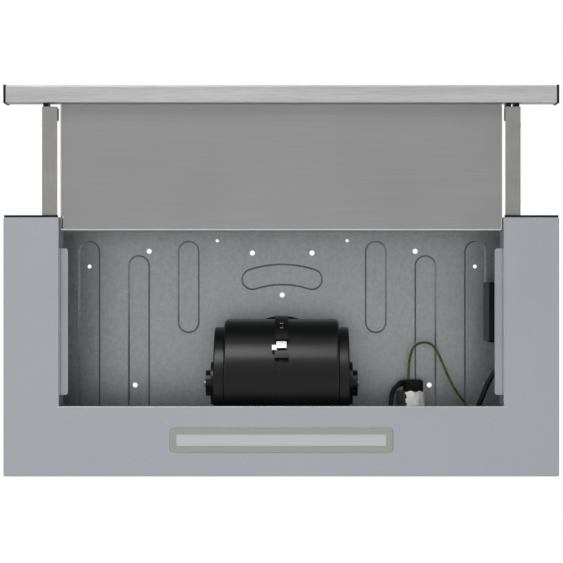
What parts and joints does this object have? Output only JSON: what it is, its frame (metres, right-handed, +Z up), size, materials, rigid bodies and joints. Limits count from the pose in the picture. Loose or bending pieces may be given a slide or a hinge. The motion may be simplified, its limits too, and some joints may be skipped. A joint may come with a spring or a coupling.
{
  "type": "telescopic cooker hood",
  "caption": "Built-in cooker hood for a wall cabinet, with a pull-out visor on ball slides, a double-inlet blower, a duct spigot with flaps, and a lamp strip.",
  "frame": {"origin": "centre of the duct spigot, level with the top of the roof sheet", "axes": "+Z up along the spigot's axis, +X along the hood's width to its right-hand end (right when looking along +Y, from the front), -Y towards the room, the way the visor pulls out"},
  "size_m": [0.598, 0.4257, 0.2102],
  "materials": {
    "silver_paint": "satin",
    "galvanised": "matt zinc",
    "visor_steel": "fine satin",
    "brushed_strip": "brushed lengthways",
    "slide_steel": "plain zinc",
    "bright_steel": "bright",
    "rotor_steel": "zinc",
    "black_plastic": "satin",
    "black_rubber": "matt",
    "button_grey": "satin",
    "lamp_frame": "satin",
    "lamp_lens": "frosted",
    "board": "satin",
    "led_board": "satin",
    "winding_core": "varnished",
    "capacitor_grey": "satin",
    "white_sleeve": "crinkled",
    "cable_black": "satin",
    "earth_green": "satin"
  },
  "bodies": {
    "hood": {"base_panel": "silver_paint", "filter_ledges": "silver_paint", "side_panel_left": "galvanised", "side_panel_right": "galvanised", "front_panel": "galvanised", "rear_panel": "galvanised", "roof_plate": "galvanised", "capacitor_saddle": "galvanised", "lamp_tray": "galvanised", "slide_fixed_left": "slide_steel", "slide_fixed_right": "slide_steel", "slide_screws": "bright_steel", "blower_screws": "bright_steel", "motor_axle": "bright_steel", "flap_pins": "bright_steel", "housing_clip": "bright_steel", "earth_terminal": "bright_steel", "blower_half_left": "black_plastic", "blower_half_right": "black_plastic", "inlet_cover_left": "black_plastic", "inlet_cover_right": "black_plastic", "outlet_ring": "black_plastic", "control_box_base": "black_plastic", "control_box_cover": "black_plastic", "capacitor_boot": "black_plastic", "cable_gland": "black_plastic", "edge_seals": "black_rubber", "axle_bushes": "black_rubber", "lamp_bezel": "lamp_frame", "lamp_diffuser": "lamp_lens", "circuit_board": "board", "led_board": "led_board", "motor_stator": "winding_core", "capacitor_can": "capacitor_grey", "capacitor_wrap": "white_sleeve", "mains_lead": "cable_black", "motor_lead": "cable_black", "earth_wire": "earth_green"},
    "visor": {"visor_panel": "visor_steel", "front_strip": "brushed_strip", "end_caps": "black_plastic", "runner_left": "slide_steel", "runner_right": "slide_steel", "slide_moving_left": "slide_steel", "slide_moving_right": "slide_steel", "runner_rivets": "bright_steel", "runner_couplers": "black_plastic", "button_console": "black_plastic"},
    "cage_left": {"ball_cage_left": "bright_steel"},
    "cage_right": {"ball_cage_right": "bright_steel"},
    "fan": {"rotor_can": "rotor_steel", "rotor_bearings": "bright_steel", "impeller": "black_plastic", "impeller_blades": "black_plastic"},
    "front_flap": {"flap_front": "black_plastic"},
    "rear_flap": {"flap_rear": "black_plastic"},
    "push_button_1": {"button_1": "button_grey"},
    "push_button_2": {"button_2": "button_grey"},
    "push_button_3": {"button_3": "button_grey"},
    "push_button_4": {"button_4": "button_grey"}
  },
  "joints": [
    {"name": "visor_slide", "type": "slide", "parent": "hood", "child": "visor", "axis": [0, 1, 0], "range_m": [0, 0.1204]},
    {"name": "cage_left_slide", "type": "slide", "parent": "hood", "child": "cage_left", "axis": [0, 1, 0], "range_m": [0, 0.0602]},
    {"name": "cage_right_slide", "type": "slide", "parent": "hood", "child": "cage_right", "axis": [0, 1, 0], "range_m": [0, 0.0602]},
    {"name": "fan_spin", "type": "hinge", "parent": "hood", "child": "fan", "pos_m": [0, 0.0127, -0.076], "axis": [1, 0, 0], "continuous": true},
    {"name": "front_flap_hinge", "type": "hinge", "parent": "hood", "child": "front_flap", "pos_m": [0, -0.007, 0.0166], "axis": [-1, 0, 0], "range_deg": [0, 75]},
    {"name": "rear_flap_hinge", "type": "hinge", "parent": "hood", "child": "rear_flap", "pos_m": [0, 0.007, 0.0166], "axis": [1, 0, 0], "range_deg": [0, 75]},
    {"name": "button_1_press", "type": "slide", "parent": "visor", "child": "push_button_1", "axis": [0, 1, 0], "range_m": [0, 0.002], "stiffness_N_per_m": 400, "springref_m": -0.001},
    {"name": "button_2_press", "type": "slide", "parent": "visor", "child": "push_button_2", "axis": [0, 1, 0], "range_m": [0, 0.002], "stiffness_N_per_m": 400, "springref_m": -0.001},
    {"name": "button_3_press", "type": "slide", "parent": "visor", "child": "push_button_3", "axis": [0, 1, 0], "range_m": [0, 0.002], "stiffness_N_per_m": 400, "springref_m": -0.001},
    {"name": "button_4_press", "type": "slide", "parent": "visor", "child": "push_button_4", "axis": [0, 1, 0], "range_m": [0, 0.002], "stiffness_N_per_m": 400, "springref_m": -0.001}
  ],
  "couplings": [
    {"joint": "cage_left_slide", "follows": "visor_slide", "ratio": 0.5},
    {"joint": "cage_right_slide", "follows": "visor_slide", "ratio": 0.5}
  ]
}
